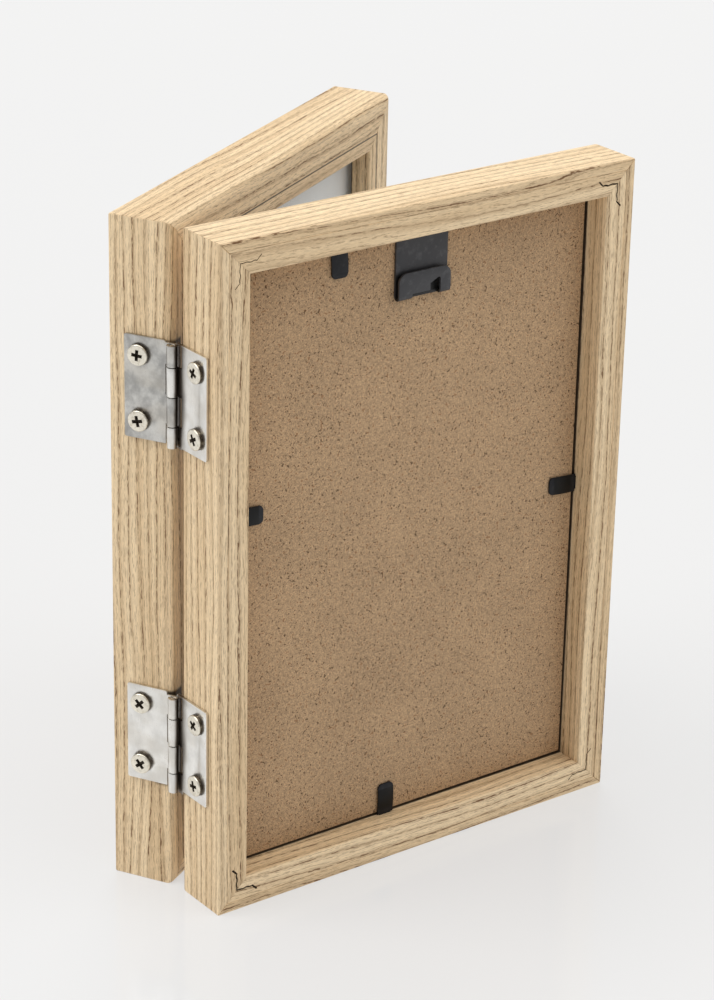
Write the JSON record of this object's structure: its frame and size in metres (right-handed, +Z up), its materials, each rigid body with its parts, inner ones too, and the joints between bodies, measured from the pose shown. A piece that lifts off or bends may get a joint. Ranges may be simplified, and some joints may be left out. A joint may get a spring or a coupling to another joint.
{
  "type": "double photo frame",
  "caption": "Two oak-look photo frames joined like a book by two small butt hinges, with glass, back boards, bending tabs and hangers; stands partly open.",
  "frame": {"origin": "on the surface it stands on, under the middle of its bounding box", "axes": "+Z up; the right frame lies along X with its back towards -Y and the hinge at its -X end; the left frame is swung 29 degrees open behind it"},
  "size_m": [0.1276, 0.0902, 0.168],
  "materials": {
    "oak": "light oak-look moulding, matt lacquer, fine dark pores along the grain",
    "back_board": "bare brown fibreboard, matt, finely speckled",
    "card": "plain white card",
    "glass": "clear, polished",
    "hinge_steel": "zinc-plated, satin, slightly clouded",
    "screw_steel": "nickel-plated, bright",
    "black_steel": "black phosphated spring steel, satin"
  },
  "bodies": {
    "right_frame": {"right_glass": "glass", "right_insert_card": "card", "right_back_board": "back_board", "right_hanger": "black_steel", "right_hinge_rail": "oak", "right_hinge_tab_shank": "black_steel", "right_bottom_rail": "oak", "right_bottom_tab_shank": "black_steel", "right_free_rail": "oak", "right_free_tab_shank": "black_steel", "right_top_rail": "oak", "right_top_tab_shank": "black_steel", "right_corner_nail_top_hinge": "black_steel", "right_corner_nail_top_free": "black_steel", "right_corner_nail_bottom_free": "black_steel", "right_corner_nail_bottom_hinge": "black_steel", "right_upper_leaf": "hinge_steel", "right_upper_screw_1": "screw_steel", "right_upper_screw_2": "screw_steel", "right_lower_leaf": "hinge_steel", "right_lower_screw_1": "screw_steel", "right_lower_screw_2": "screw_steel", "upper_hinge_pin": "hinge_steel", "lower_hinge_pin": "hinge_steel"},
    "left_frame": {"left_glass": "glass", "left_insert_card": "card", "left_back_board": "back_board", "left_hanger": "black_steel", "left_hinge_rail": "oak", "left_hinge_tab_shank": "black_steel", "left_bottom_rail": "oak", "left_bottom_tab_shank": "black_steel", "left_free_rail": "oak", "left_free_tab_shank": "black_steel", "left_top_rail": "oak", "left_top_tab_shank": "black_steel", "left_corner_nail_top_hinge": "black_steel", "left_corner_nail_top_free": "black_steel", "left_corner_nail_bottom_free": "black_steel", "left_corner_nail_bottom_hinge": "black_steel", "left_upper_leaf": "hinge_steel", "left_upper_screw_1": "screw_steel", "left_upper_screw_2": "screw_steel", "left_lower_leaf": "hinge_steel", "left_lower_screw_1": "screw_steel", "left_lower_screw_2": "screw_steel"},
    "right_hinge_tab": {"right_hinge_tab": "black_steel"},
    "right_bottom_tab": {"right_bottom_tab": "black_steel"},
    "right_free_tab": {"right_free_tab": "black_steel"},
    "right_top_tab": {"right_top_tab": "black_steel"},
    "left_hinge_tab": {"left_hinge_tab": "black_steel"},
    "left_bottom_tab": {"left_bottom_tab": "black_steel"},
    "left_free_tab": {"left_free_tab": "black_steel"},
    "left_top_tab": {"left_top_tab": "black_steel"}
  },
  "joints": [
    {"name": "frame_hinge", "type": "hinge", "parent": "right_frame", "child": "left_frame", "pos_m": [-0.05704, -0.02816, 0.084], "axis": [0, 0, 1], "range_deg": [-29, 138]},
    {"name": "right_hinge_tab_bend", "type": "hinge", "parent": "right_frame", "child": "right_hinge_tab", "pos_m": [-0.04709, -0.03841, 0.0986], "axis": [0, 0, -1], "range_deg": [0, 80]},
    {"name": "right_bottom_tab_bend", "type": "hinge", "parent": "right_frame", "child": "right_bottom_tab", "pos_m": [-0.00138, -0.03841, 0.0085], "axis": [1, 0, 0], "range_deg": [0, 80]},
    {"name": "right_free_tab_bend", "type": "hinge", "parent": "right_frame", "child": "right_free_tab", "pos_m": [0.05532, -0.03841, 0.084], "axis": [0, 0, 1], "range_deg": [0, 80]},
    {"name": "right_top_tab_bend", "type": "hinge", "parent": "right_frame", "child": "right_top_tab", "pos_m": [-0.01878, -0.03841, 0.1595], "axis": [-1, 0, 0], "range_deg": [0, 80]},
    {"name": "left_hinge_tab_bend", "type": "hinge", "parent": "left_frame", "child": "left_hinge_tab", "pos_m": [-0.0533, -0.01437, 0.0986], "axis": [0, 0, 1], "range_deg": [0, 80]},
    {"name": "left_bottom_tab_bend", "type": "hinge", "parent": "left_frame", "child": "left_bottom_tab", "pos_m": [-0.01333, 0.00778, 0.0085], "axis": [-0.8746, -0.4848, 0], "range_deg": [0, 80]},
    {"name": "left_free_tab_bend", "type": "hinge", "parent": "left_frame", "child": "left_free_tab", "pos_m": [0.03626, 0.03527, 0.084], "axis": [0, 0, -1], "range_deg": [0, 80]},
    {"name": "left_top_tab_bend", "type": "hinge", "parent": "left_frame", "child": "left_top_tab", "pos_m": [-0.02855, -0.00065, 0.1595], "axis": [0.8746, 0.4848, 0], "range_deg": [0, 80]}
  ]
}
